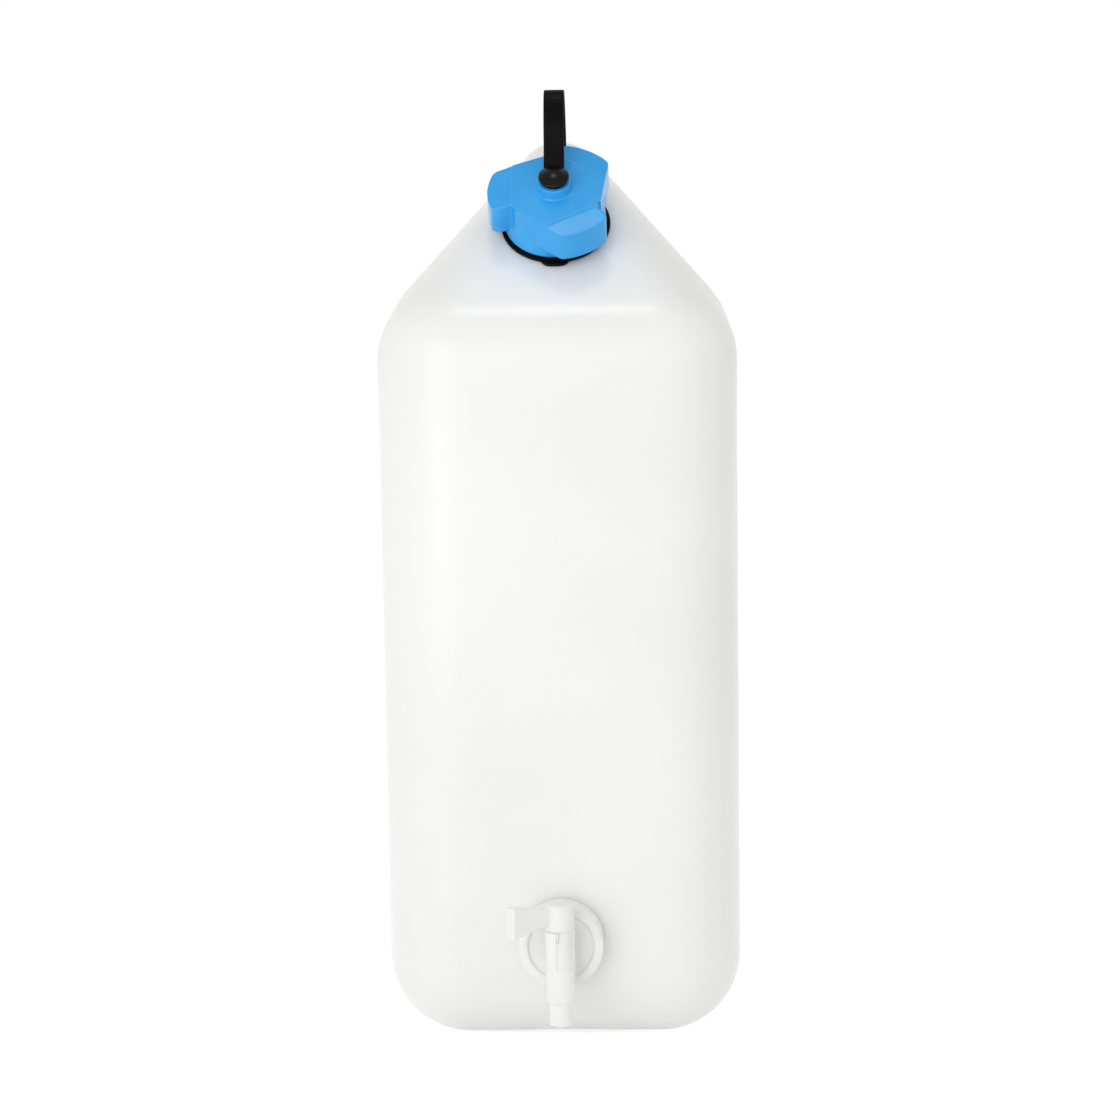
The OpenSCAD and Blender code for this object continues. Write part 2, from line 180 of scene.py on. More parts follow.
soft_box("key_softbox", radians(-23), radians(6), 1.3, 0.8, 1.1, 5.2)
soft_box("overhead_softbox", radians(-10), radians(80), 1.3, 0.25, 0.25, 1.3)


# Container: one hollow blow moulding of natural polyethylene with soft edges all over. Its form
# is the skin around fourteen balls, as in the construction, with the finger opening cut through
# and every edge then rounded. The wall is too milky for its inside to be seen.
joints = {joint["name"]: joint for joint in frame["joints"]}
neck_axis = Vector(joints["cap_turn"]["axis"])
neck_foot = Vector(joints["cap_turn"]["pos_m"])
neck_tilt = atan2(-neck_axis.y, neck_axis.z)
neck_place = Matrix.Translation(neck_foot) @ Matrix.Rotation(neck_tilt, 4, "X")

half_width = body_high[0]
depth = back_y - front_y
corner_r = 39 * MM
eave_r = 55 * MM
ridge_r = 22 * MM
eave_z = body_high[2] - 88 * MM
hip_z = body_high[2] - 91 * MM
ridge_z = body_high[2] - ridge_r
ridge_back = 50 * MM
gable_slope = (atan2(ridge_z - eave_z, half_width)
               + asin(ridge_r / hypot(half_width, ridge_z - eave_z)))


# How high a ball can lie under the gable, and under the hip that slopes up from the front, and
# how far back it lies where it touches the hip at a given height
def under_gable(radius):
    return eave_z + radius * tan(gable_slope) - radius / cos(gable_slope)


def under_hip(radius, back):
    return hip_z + back * tan(neck_tilt) - radius / cos(neck_tilt)


def behind_hip(radius, z):
    return (z + radius / cos(neck_tilt) - hip_z) / tan(neck_tilt)


def ball_pair(radius, back, z):
    return [((side * (half_width - radius), front_y + back, z), radius) for side in (-1, 1)]


eave_ball_z = under_gable(eave_r)
front_top_z = min(under_hip(corner_r, corner_r), under_gable(corner_r))
balls = ball_pair(corner_r, corner_r, corner_r) + ball_pair(corner_r, depth - corner_r, corner_r)
balls += ball_pair(corner_r, corner_r, front_top_z)
balls += ball_pair(corner_r, depth - corner_r, under_gable(corner_r))
balls += ball_pair(eave_r, max(eave_r, behind_hip(eave_r, eave_ball_z)), eave_ball_z)
balls += ball_pair(eave_r, depth - eave_r, eave_ball_z)
balls += [((0, front_y + back, ridge_z), ridge_r)
          for back in (behind_hip(ridge_r, ridge_z), depth - ridge_back)]


# For each direction the skin touches the balls that reach furthest that way
def skin_points(step):
    points = []
    for i in range(1, round(180 / step)):
        for k in range(round(360 / step)):
            polar, around = radians(i * step), radians(k * step)
            way = Vector((sin(polar) * cos(around), sin(polar) * sin(around), cos(polar)))
            reaches = [way.dot(Vector(centre)) + radius for centre, radius in balls]
            furthest = max(reaches)
            points += [Vector(centre) + radius * way
                       for (centre, radius), reach in zip(balls, reaches)
                       if furthest - reach < 1e-6]
    points += [Vector(centre) + Vector((0, 0, side * radius))
               for centre, radius in balls for side in (-1, 1)]
    return points


def start_piece(name, mesh):
    mesh.name = name
    piece = bpy.data.objects.new(name, mesh)
    bpy.context.scene.collection.objects.link(piece)
    return piece


def bake(piece):
    depsgraph = bpy.context.evaluated_depsgraph_get()
    mesh = bpy.data.meshes.new_from_object(piece.evaluated_get(depsgraph))
    piece.modifiers.clear()
    piece.data = mesh
    mesh.name = piece.name


def combine(piece, tool, operation):
    modifier = piece.modifiers.new(operation, "BOOLEAN")
    modifier.object = tool
    modifier.operation = operation
    modifier.solver = "EXACT"
    bake(piece)
    bpy.data.objects.remove(tool)


def cut(piece, mesh):
    combine(piece, start_piece("cutter", mesh), "DIFFERENCE")


def join(piece, mesh):
    combine(piece, start_piece("addition", mesh), "UNION")


# Rounds every edge of a closed piece by about the grid's size, more with each pass
def round_edges(piece, grid, passes):
    skin = piece.modifiers.new("skin", "REMESH")
    skin.mode = "VOXEL"
    skin.voxel_size = grid
    skin.use_smooth_shade = True
    fillet = piece.modifiers.new("fillet", "SMOOTH")
    fillet.factor = 0.5
    fillet.iterations = passes
    bake(piece)


def tidy_mesh(verts, faces):
    mesh = bpy.data.meshes.new("mesh")
    mesh.from_pydata(verts, [], faces)
    work = bmesh.new()
    work.from_mesh(mesh)
    bmesh.ops.remove_doubles(work, verts=work.verts, dist=1e-6)
    bmesh.ops.dissolve_degenerate(work, edges=work.edges, dist=1e-7)
    bmesh.ops.recalc_face_normals(work, faces=work.faces)
    work.to_mesh(mesh)
    work.free()
    return mesh


def prism(outline, low, high):
    count = len(outline)
    verts = [(x, y, low) for x, y in outline] + [(x, y, high) for x, y in outline]
    faces = [tuple(range(count)), tuple(range(count, 2 * count))]
    faces += [(i, (i + 1) % count, (i + 1) % count + count, i + count) for i in range(count)]
    return tidy_mesh(verts, faces)


def block(low, high):
    return prism([(low[0], low[1]), (high[0], low[1]), (high[0], high[1]), (low[0], high[1])],
                 low[2], high[2])


def arc(centre, radius, start, end, steps):
    return [(centre[0] + radius * cos(start + (end - start) * k / steps),
             centre[1] + radius * sin(start + (end - start) * k / steps))
            for k in range(steps + 1)]


def disc(radius, low, high, steps=96):
    return prism(arc((0, 0), radius, 0, 2 * pi, steps)[:-1], low, high)


# The piece is put in its place, takes its material and stands in for the node. Without a body it
# is left unattached.
def finish_piece(piece, place, material, node, body=None):
    piece.data.transform(place)
    piece.data.materials.clear()
    piece.data.materials.append(material)
    piece.data.shade_smooth()
    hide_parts(node)
    if body:
        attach(piece, body)


work = bmesh.new()
for point in skin_points(2.5):
    work.verts.new(point)
bmesh.ops.remove_doubles(work, verts=work.verts, dist=1e-6)
hull = bmesh.ops.convex_hull(work, input=work.verts)
inner_verts = {v for v in hull["geom_interior"] if isinstance(v, bmesh.types.BMVert)}
bmesh.ops.delete(work, geom=list(inner_verts), context="VERTS")
bmesh.ops.recalc_face_normals(work, faces=work.faces)
shell_mesh = bpy.data.meshes.new("container_shell")
work.to_mesh(shell_mesh)
work.free()
shell = start_piece("container_shell", shell_mesh)

# The finger opening, and the flanks taken off beside the bar
grip_start = front_y + 142 * MM
grip_end = grip_start + 118 * MM
grip_top = body_high[2] - 30 * MM
grip_low = grip_top - 38 * MM
grip_middle = (grip_low + grip_top) / 2
grip_r = 12 * MM
bar_half = 21 * MM
reach_out = half_width + 30 * MM
across_x = Matrix(((0, 0, 1, 0), (1, 0, 0, 0), (0, 1, 0, 0), (0, 0, 0, 1)))
grip_corners = [(grip_start + grip_r, grip_low + grip_r, 180),
                (grip_end - grip_r, grip_low + grip_r, 270),
                (grip_end - grip_r, grip_top - grip_r, 0),
                (grip_start + grip_r, grip_top - grip_r, 90)]
grip_outline = [point for y, z, start in grip_corners
                for point in arc((y, z), grip_r, radians(start), radians(start + 90), 12)]
grip_mesh = prism(grip_outline, -reach_out, reach_out)
grip_mesh.transform(across_x)
cut(shell, grip_mesh)
for side in (-1, 1):
    cut(shell, block((min(side * bar_half, side * reach_out), grip_start, grip_middle),
                     (max(side * bar_half, side * reach_out), grip_end, 2 * body_high[2])))

# The shallow channel along the base leaves two long feet
channel_half = 40 * MM
channel_depth = 2.5 * MM
channel_r = (channel_half ** 2 + channel_depth ** 2) / (2 * channel_depth)
overshoot = 10 * MM
channel_mesh = disc(channel_r, 0, depth + 2 * overshoot, 256)
channel_mesh.transform(Matrix.Translation((0, front_y - overshoot, channel_depth - channel_r))
                       @ Matrix.Rotation(-pi / 2, 4, "X"))
cut(shell, channel_mesh)
round_edges(shell, grid=2.4 * MM, passes=10)

# The neck's bore opens into the container: a deep well is all of it that can be seen
neck_bore_r = 16.2 * MM
well_depth = 60 * MM
bore_mesh = disc(neck_bore_r, -well_depth, 30 * MM)
bore_mesh.transform(neck_place)
cut(shell, bore_mesh)

# Natural polyethylene, blow moulded: milky, faintly warm, with a satin skin that is slightly
# uneven where the wall cooled, so that highlights are soft and a little wavy. The mould's two
# halves met in the middle plane, which leaves a fine raised line.
wave_size = 45 * MM
pore_size = 1.6 * MM
cloud_size = 120 * MM
polyethylene, tree = new_material("natural_polyethylene_blown")
place = add_node(tree, "ShaderNodeTexCoord").outputs["Object"]
waves = add_node(tree, "ShaderNodeTexNoise", None, {
    "Vector": place, "Scale": 1 / wave_size, "Detail": 1.5, "Roughness": 0.4})
pores = add_node(tree, "ShaderNodeTexNoise", None, {
    "Vector": place, "Scale": 1 / pore_size, "Detail": 3, "Roughness": 0.55})
cloud = add_node(tree, "ShaderNodeTexNoise", None, {
    "Vector": place, "Scale": 1 / cloud_size, "Detail": 2, "Roughness": 0.5})
across = add_node(tree, "ShaderNodeSeparateXYZ", None, {"Vector": place}).outputs["X"]
beside = add_node(tree, "ShaderNodeMath", {"operation": "ABSOLUTE"}, {0: across})
parting = add_node(tree, "ShaderNodeMapRange", {"interpolation_type": "SMOOTHSTEP"}, {
    "Value": beside.outputs[0], "From Min": 0.1 * MM, "From Max": 0.9 * MM,
    "To Min": 1.0, "To Max": 0.0})
wave_bump = add_node(tree, "ShaderNodeBump", None, {
    "Height": waves.outputs[0], "Strength": 0.35, "Distance": 0.6 * MM})
line_bump = add_node(tree, "ShaderNodeBump", None, {
    "Height": parting.outputs[0], "Strength": 0.3, "Distance": 0.12 * MM,
    "Normal": wave_bump.outputs[0]})
skin_bump = add_node(tree, "ShaderNodeBump", None, {
    "Height": pores.outputs[0], "Strength": 0.25, "Distance": 0.05 * MM,
    "Normal": line_bump.outputs[0]})
tint = add_node(tree, "ShaderNodeValToRGB", None, {"Fac": cloud.outputs[0]})
tint.color_ramp.elements[0].color = srgb("#f2f2f0")
tint.color_ramp.elements[1].color = srgb("#f6f6f4")
tint.color_ramp.elements[0].position = 0.35
tint.color_ramp.elements[1].position = 0.65
skin_shader = add_node(tree, "ShaderNodeBsdfPrincipled", None, {
    "Base Color": tint.outputs[0], "Roughness": 0.29, "IOR": 1.5, "Subsurface Weight": 0.5,
    "Subsurface Radius": (1.0, 0.97, 0.92), "Subsurface Scale": 8 * MM,
    "Normal": skin_bump.outputs[0]})
add_node(tree, "ShaderNodeOutputMaterial", None, {"Surface": skin_shader.outputs[0]})
finish_piece(shell, Matrix.Identity(4), polyethylene, "container_body",
             "container")


# Filler neck: blown in one with the container and trimmed flat at its lip, with a coarse rounded
# thread of two turns. Its foot runs into the shoulder in a small fillet.
neck_r = 18.6 * MM
neck_h = 20.5 * MM
neck_foot_r = neck_r + 2 * MM
neck_sink = 6 * MM
thread_pitch = 5 * MM
ridge_size = 1.1 * MM


# Rounds the corners of an outline, each given as x, y and its radius
def filleted(corners):
    outline = []
    for i, (x, y, radius) in enumerate(corners):
        here = Vector((x, y))
        if radius == 0:
            outline.append((x, y))
            continue
        before = (Vector(corners[i - 1][:2]) - here).normalized()
        after = (Vector(corners[(i + 1) % len(corners)][:2]) - here).normalized()
        half = before.angle(after) / 2
        centre = here + (before + after).normalized() * radius / sin(half)
        start = here + before * radius / tan(half) - centre
        end = here + after * radius / tan(half) - centre
        turn = atan2(start.x * end.y - start.y * end.x, start.dot(end))
        first = atan2(start.y, start.x)
        outline += arc(centre, radius, first, first + turn, 5)
    return outline


# A closed outline of (radius, height) points turned about Z
def turned(outline, steps=96):
    count = len(outline)
    verts = [(r * cos(2 * pi * k / steps), r * sin(2 * pi * k / steps), z)
             for k in range(steps) for r, z in outline]
    faces = [(k * count + i, k * count + (i + 1) % count,
              (k + 1) % steps * count + (i + 1) % count, (k + 1) % steps * count + i)
             for k in range(steps) for i in range(count)]
    return tidy_mesh(verts, faces)


def new_geometry_tree(name, inputs):
    tree = bpy.data.node_groups.new(name, "GeometryNodeTree")
    tree.interface.new_socket("Geometry", in_out="INPUT", socket_type="NodeSocketGeometry")
    for label, kind in inputs.items():
        tree.interface.new_socket(label, in_out="INPUT", socket_type=kind)
    tree.interface.new_socket("Geometry", in_out="OUTPUT", socket_type="NodeSocketGeometry")
    return tree, add_node(tree, "NodeGroupInput").outputs


def end_geometry_tree(tree, geometry, material):
    real = add_node(tree, "GeometryNodeRealizeInstances", None, {"Geometry": geometry})
    coat = add_node(tree, "GeometryNodeSetMaterial", None,
                    {"Geometry": real.outputs[0], "Material": material})
    add_node(tree, "NodeGroupOutput", None, {"Geometry": coat.outputs[0]})


def grow(piece, tree, values):
    modifier = piece.modifiers.new(tree.name, "NODES")
    modifier.node_group = tree
    for socket in tree.interface.items_tree:
        if socket.name in values:
            modifier[socket.identifier] = values[socket.name]
    bake(piece)


# A round bead along a helix, which thins out at both ends
thread_tree, given = new_geometry_tree("moulded_thread", {
    "Radius": "NodeSocketFloat", "Pitch": "NodeSocketFloat", "Turns": "NodeSocketFloat",
    "Start": "NodeSocketFloat", "Ridge": "NodeSocketFloat", "Material": "NodeSocketMaterial"})
rise = add_node(thread_tree, "ShaderNodeMath", {"operation": "MULTIPLY"},
                {0: given["Pitch"], 1: given["Turns"]})
helix = add_node(thread_tree, "GeometryNodeCurveSpiral", None, {
    "Resolution": 72, "Rotations": given["Turns"], "Start Radius": given["Radius"],
    "End Radius": given["Radius"], "Height": rise.outputs[0]})
lift = add_node(thread_tree, "ShaderNodeCombineXYZ", None, {"Z": given["Start"]})
raised = add_node(thread_tree, "GeometryNodeTransform", None,
                  {"Geometry": helix.outputs[0], "Translation": lift.outputs[0]})
along = add_node(thread_tree, "GeometryNodeSplineParameter")
to_middle = add_node(thread_tree, "ShaderNodeMath", {"operation": "SUBTRACT"},
                     {0: along.outputs["Factor"], 1: 0.5})
off_middle = add_node(thread_tree, "ShaderNodeMath", {"operation": "ABSOLUTE"},
                      {0: to_middle.outputs[0]})
run_out = add_node(thread_tree, "ShaderNodeMapRange", None, {
    "Value": off_middle.outputs[0], "From Min": 0.44, "From Max": 0.5,
    "To Min": 1.0, "To Max": 0.1})
section = add_node(thread_tree, "GeometryNodeCurvePrimitiveCircle", None,
                   {"Resolution": 10, "Radius": given["Ridge"]})
bead = add_node(thread_tree, "GeometryNodeCurveToMesh", None, {
    "Curve": raised.outputs[0], "Profile Curve": section.outputs[0],
    "Scale": run_out.outputs[0], "Fill Caps": True})
end_geometry_tree(thread_tree, bead.outputs[0], given["Material"])

neck = start_piece("filler_neck", turned(filleted([
    (neck_bore_r, -neck_sink, 0), (neck_bore_r, neck_h, 0.5 * MM), (neck_r, neck_h, 0.6 * MM),
    (neck_r, 0.6 * MM, 1.2 * MM), (neck_foot_r, -0.9 * MM, 1.2 * MM),
    (neck_foot_r, -neck_sink, 0)])))
finish_piece(neck, neck_place, polyethylene, "container_body",
             "container")
neck_thread = start_piece("filler_neck_thread", bpy.data.meshes.new("helix"))
grow(neck_thread, thread_tree, {
    "Radius": neck_r - 0.1 * MM, "Pitch": thread_pitch, "Turns": 2.0, "Start": 7 * MM,
    "Ridge": ridge_size, "Material": polyethylene})
finish_piece(neck_thread, neck_place, polyethylene, "container_body",
             "container")


# Screw cap: injection-moulded blue polypropylene with three grip lobes, each with a straight
# flank and a blunt end, and a boss in the middle that the leash is pinned to.
cap_foot = 2.2 * MM
cap_h = 22.3 * MM
cap_top = cap_foot + cap_h
cap_wall = 2.5 * MM
cap_ceiling = 2.4 * MM
cap_bore_r = neck_r + 1.7 * MM
skirt_r = cap_bore_r + cap_wall
skirt_foot_r = skirt_r + 2.1 * MM
boss_h = 4.8 * MM
boss_foot_r = 9 * MM
boss_r = 8 * MM
stud_r = 3 * MM
stud_hole_r = stud_r + 0.1 * MM
lobe_r = skirt_foot_r + 7.4 * MM
lobe_foot = cap_foot + 5.8 * MM
lobe_corner_r = 4 * MM
lobe_end_r = 4.2 * MM
lobe_drop = 1 * MM
lobe_starts = (-27, 93, 213)
lobe_end = radians(105)
flank_r = skirt_r + 0.6 * MM
flank_turn = radians(19.5)
flank_start = radians(5)
platform = skirt_r - 2.3 * MM
platform_step = 0.6 * MM
platform_turn = 87


def polar(radius, angle):
    return Vector((radius * cos(angle), radius * sin(angle)))


# A lobe's flank is a flat that meets the skirt, and its pocket keeps the walls even
corner_turn = flank_turn + acos((flank_r - lobe_corner_r) / (lobe_r - lobe_corner_r))
lobe_outline = [(0, 0), tuple(polar(flank_r / cos(flank_turn - flank_start), flank_start))]
lobe_outline += arc(polar(lobe_r - lobe_corner_r, corner_turn), lobe_corner_r,
                    flank_turn, corner_turn, 8)
lobe_outline += arc((0, 0), lobe_r, corner_turn + radians(3), lobe_end, 12)
lobe_outline += arc(polar(lobe_r - lobe_end_r, lobe_end), lobe_end_r,
                    lobe_end + radians(10), lobe_end + radians(90), 8)
lobe_outline += [tuple(polar(skirt_r - 4 * MM, lobe_end)
                       + polar(lobe_end_r, lobe_end + radians(90)))]
inner_flank_r = flank_r - cap_wall
pocket_r = lobe_r - cap_wall
pocket_starts = [flank_turn + acos(inner_flank_r / radius) for radius in (pocket_r, skirt_foot_r)]
pocket_outline = arc((0, 0), pocket_r, pocket_starts[0], lobe_end, 8)
pocket_outline += arc((0, 0), skirt_foot_r, lobe_end, pocket_starts[1], 8)

# The cap's top falls away outside a straight edge over each lobe, with a small step at the edge
cap = start_piece("cap_moulding", turned([
    (0, cap_foot), (skirt_foot_r, cap_foot), (skirt_r, cap_top), (boss_foot_r, cap_top),
    (boss_r, cap_top + boss_h), (0, cap_top + boss_h)]))
fall = atan2(lobe_drop, lobe_r - platform)
for start in lobe_starts:
    lobe = start_piece("lobe", prism(lobe_outline, lobe_foot, cap_top - 0.02 * MM))
    cut(lobe, prism(pocket_outline, 0, cap_top - lobe_drop - cap_ceiling))
    lobe.data.transform(Matrix.Rotation(radians(start), 4, "Z"))
    combine(cap, lobe, "UNION")
    above = block((0, -lobe_r, -platform_step), (2 * lobe_r, lobe_r, cap_h))
    above.transform(Matrix.Rotation(radians(start + platform_turn), 4, "Z")
                    @ Matrix.Translation((platform, 0, cap_top)) @ Matrix.Rotation(fall, 4, "Y"))
    cut(cap, above)
cut(cap, disc(cap_bore_r, 0, cap_top - cap_ceiling))
cut(cap, disc(stud_hole_r, cap_top, cap_top + 2 * boss_h, 48))
round_edges(cap, grid=0.43 * MM, passes=2)


# Injection-moulded plastic: an even colour that clouds a little where the melt flowed, a satin
# skin with slight sink waves under it, and the grain of the mould, which is really about 0.1 mm
# and drawn coarser so that it shows. All three keep highlights soft.
def moulded_plastic(name, darker, lighter, roughness, grain_size, grain_depth, glow=0.0,
                    shine=0.5):
    flow_size = 22 * MM
    rub_size = 6 * MM
    rub = 0.015
    material, tree = new_material(name)
    place = add_node(tree, "ShaderNodeTexCoord").outputs["Object"]
    flow = add_node(tree, "ShaderNodeTexNoise", None, {
        "Vector": place, "Scale": 1 / flow_size, "Detail": 2, "Roughness": 0.5})
    tint = add_node(tree, "ShaderNodeValToRGB", None, {"Fac": flow.outputs[0]})
    tint.color_ramp.elements[0].color = srgb(darker)
    tint.color_ramp.elements[1].color = srgb(lighter)
    tint.color_ramp.elements[0].position = 0.35
    tint.color_ramp.elements[1].position = 0.65
    handled = add_node(tree, "ShaderNodeTexNoise", None, {
        "Vector": place, "Scale": 1 / rub_size, "Detail": 1, "Roughness": 0.5})
    satin = add_node(tree, "ShaderNodeMapRange", None, {
        "Value": handled.outputs[0], "From Min": 0.3, "From Max": 0.7,
        "To Min": roughness - rub, "To Max": roughness + rub})
    grain = add_node(tree, "ShaderNodeTexNoise", None, {
        "Vector": place, "Scale": 1 / grain_size, "Detail": 2, "Roughness": 0.5})
    sink = add_node(tree, "ShaderNodeBump", None, {
        "Height": flow.outputs[0], "Strength": 0.3, "Distance": 0.25 * MM})
    grain_bump = add_node(tree, "ShaderNodeBump", None, {
        "Height": grain.outputs[0], "Strength": 0.3, "Distance": grain_depth,
        "Normal": sink.outputs[0]})
    shader = add_node(tree, "ShaderNodeBsdfPrincipled", None, {
        "Base Color": tint.outputs[0], "Roughness": satin.outputs[0], "IOR": 1.49,
        "Specular IOR Level": shine, "Subsurface Weight": glow,
        "Subsurface Radius": (1.0, 1.0, 1.0), "Subsurface Scale": 1.5 * MM,
        "Normal": grain_bump.outputs[0]})
    add_node(tree, "ShaderNodeOutputMaterial", None, {"Surface": shader.outputs[0]})
    return material


blue_polypropylene = moulded_plastic("blue_polypropylene_moulded", "#2ca2e9", "#34aaf1",
                                     roughness=0.25, grain_size=0.7 * MM, grain_depth=0.02 * MM)
finish_piece(cap, neck_place, blue_polypropylene, "cap", "screw_cap")
cap_thread = start_piece("cap_thread", bpy.data.meshes.new("helix"))
grow(cap_thread, thread_tree, {
    "Radius": cap_bore_r + 0.1 * MM, "Pitch": thread_pitch, "Turns": 1.6, "Start": 9.5 * MM,
    "Ridge": ridge_size, "Material": blue_polypropylene})
finish_piece(cap_thread, neck_place, blue_polypropylene, "cap",
             "screw_cap")

# The sealing disc in the cap is punched from white closed-cell foam: matt, with fine cells
cell_size = 0.8 * MM
foam, tree = new_material("white_polyethylene_foam")
place = add_node(tree, "ShaderNodeTexCoord").outputs["Object"]
cells = add_node(tree, "ShaderNodeTexVoronoi", {"feature": "F1"},
                 {"Vector": place, "Scale": 1 / cell_size})
foam_tint = add_node(tree, "ShaderNodeValToRGB", None, {"Fac": cells.outputs["Distance"]})
foam_tint.color_ramp.elements[0].color = srgb("#f3f3f0")
foam_tint.color_ramp.elements[1].color = srgb("#e4e4e0")
cell_bump = add_node(tree, "ShaderNodeBump", None, {
    "Height": cells.outputs["Distance"], "Strength": 0.5, "Distance": 0.1 * MM})
foam_shader = add_node(tree, "ShaderNodeBsdfPrincipled", None, {
    "Base Color": foam_tint.outputs[0], "Roughness": 0.75, "IOR": 1.49,
    "Normal": cell_bump.outputs[0]})
add_node(tree, "ShaderNodeOutputMaterial", None, {"Surface": foam_shader.outputs[0]})
for coat in frame["nodes"]["cap_seal"].material_slots:
    coat.material = foam


# Leash: one moulding of soft black plastic, with a ring under the cap, a lug at its front, a
# strap that bends up and over from its back, and an eye at the strap's end over the cap's boss.
ring_low, ring_high = 0.1 * MM, 1.9 * MM
ring_bore_r = neck_r + 0.7 * MM
ring_r = ring_bore_r + 7.3 * MM
lug_half = 7 * MM
lug_root = ring_r - 6 * MM
lug_end = ring_r + 2.2 * MM
lug_corner_r = 4.5 * MM
strap_w = 9.9 * MM
strap_t = 1.8 * MM
tab_root = ring_bore_r + 2 * MM
tab_end = lobe_r + 5.6 * MM
button_r = 7.4 * MM
eye_low = cap_top + boss_h + 0.3 * MM
eye_top = eye_low + strap_t
eye_middle = eye_low + strap_t / 2
eye_r = button_r - 0.6 * MM

black_leash = moulded_plastic("black_leash_soft_moulded", "#060606", "#0a0a0a", roughness=0.42,
                              grain_size=0.5 * MM, grain_depth=0.05 * MM, shine=0.08)
ring = start_piece("leash_ring_moulding", disc(ring_r, ring_low, ring_high, 120))
join(ring, prism(filleted([
    (-lug_half, -lug_root, 0), (-lug_half, -lug_end, lug_corner_r),
    (lug_half, -lug_end, lug_corner_r), (lug_half, -lug_root, 0)]), ring_low, ring_high))
join(ring, block((-strap_w / 2, tab_root, ring_low), (strap_w / 2, tab_end, ring_high)))
cut(ring, disc(ring_bore_r, -MM, 4 * MM))
round_edges(ring, grid=0.4 * MM, passes=2)
finish_piece(ring, neck_place, black_leash, "leash_ring", "container")

# The strap's middle line: distance up the shoulder from the neck's axis, and height along it
strap_knots = [(0, eye_middle), (4 * MM, eye_middle), (button_r + 0.6 * MM, eye_middle),
               (button_r + 4.4 * MM, eye_middle + 2.4 * MM), (19 * MM, 38 * MM),
               (25 * MM, 43 * MM), (33 * MM, 47 * MM), (40 * MM, 48.3 * MM),
               (45 * MM, 45.6 * MM), (47.4 * MM, 38.5 * MM), (46.8 * MM, 27.5 * MM),
               (43.5 * MM, 14 * MM), (lobe_r + 4.6 * MM, 1.2 * MM)]
steps_per_knot = 8
last_knot = len(strap_knots) - 1
strap_line = []
for i in range(last_knot):
    a, b, c, d = [Vector(strap_knots[min(max(k, 0), last_knot)]) for k in range(i - 1, i + 3)]
    for k in range(steps_per_knot):
        t = k / steps_per_knot
        strap_line.append(0.5 * (2 * b + (c - a) * t + (2 * a - 5 * b + 4 * c - d) * t * t
                                 + (3 * b - a - 3 * c + d) * t ** 3))
strap_line.append(Vector(strap_knots[-1]))

# A flat band with eased edges along a line
strap_tree, given = new_geometry_tree("strap_along_line", {
    "Width": "NodeSocketFloat", "Thickness": "NodeSocketFloat", "Corner": "NodeSocketFloat",
    "Material": "NodeSocketMaterial"})
line = add_node(strap_tree, "GeometryNodeMeshToCurve", None, {"Mesh": given["Geometry"]})
oblong = add_node(strap_tree, "GeometryNodeCurvePrimitiveQuadrilateral", None,
                  {"Width": given["Width"], "Height": given["Thickness"]})
eased = add_node(strap_tree, "GeometryNodeFilletCurve", {"mode": "POLY"}, {
    "Curve": oblong.outputs[0], "Count": 4, "Radius": given["Corner"], "Limit Radius": True})
swept = add_node(strap_tree, "GeometryNodeCurveToMesh", None, {
    "Curve": line.outputs[0], "Profile Curve": eased.outputs[0], "Fill Caps": True})
end_geometry_tree(strap_tree, swept.outputs[0], given["Material"])

line_mesh = bpy.data.meshes.new("strap_line")
line_mesh.from_pydata([(0, point.x, point.y) for point in strap_line],
                      [(i, i + 1) for i in range(len(strap_line) - 1)], [])
strap = start_piece("leash_strap_moulding", line_mesh)
grow(strap, strap_tree, {
    "Width": strap_w, "Thickness": strap_t, "Corner": 0.5 * MM, "Material": black_leash})
join(strap, turned(filleted([
    (0, eye_low, 0), (eye_r, eye_low, 0.5 * MM), (eye_r, eye_top, 0.5 * MM), (0, eye_top, 0)])))
cut(strap, disc(stud_hole_r, eye_low - MM, eye_top + MM, 48))
round_edges(strap, grid=0.4 * MM, passes=2)
finish_piece(strap, neck_place, black_leash, "leash_strap")
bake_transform(strap)


# Button: a domed pin of harder black plastic, pressed through the eye of the leash into the
# cap's boss. Its head has a small rolled rim under the dome.
button_low = eye_top + 0.1 * MM
button_h = 2.6 * MM
stud_end = cap_top + 0.3 * MM
rim_h = 0.5 * MM
dome_r = (button_r ** 2 + button_h ** 2) / (2 * button_h)
dome_start = asin(button_r / dome_r)
dome_steps = 12
dome_turns = [dome_start * (1 - k / dome_steps) for k in range(1, dome_steps + 1)]
dome = [(dome_r * sin(turn), button_low + button_h - dome_r + dome_r * cos(turn))
        for turn in dome_turns]
button = start_piece("leash_button_moulding", turned([
    (0, stud_end), (stud_r - 0.6 * MM, stud_end), (stud_r, stud_end + 0.6 * MM),
    (stud_r, button_low), (button_r - 0.3 * MM, button_low),
    (button_r - 0.08 * MM, button_low + 0.08 * MM), (button_r, button_low + 0.3 * MM),
    (button_r - 0.1 * MM, button_low + rim_h)]
    + [point for point in dome if point[1] > button_low + rim_h + 0.05 * MM]))
black_button = moulded_plastic("black_button_moulded", "#040404", "#070707", roughness=0.3,
                               grain_size=0.5 * MM, grain_depth=0.03 * MM, shine=0.26)
finish_piece(button, neck_place, black_button, "leash_button", "leash")


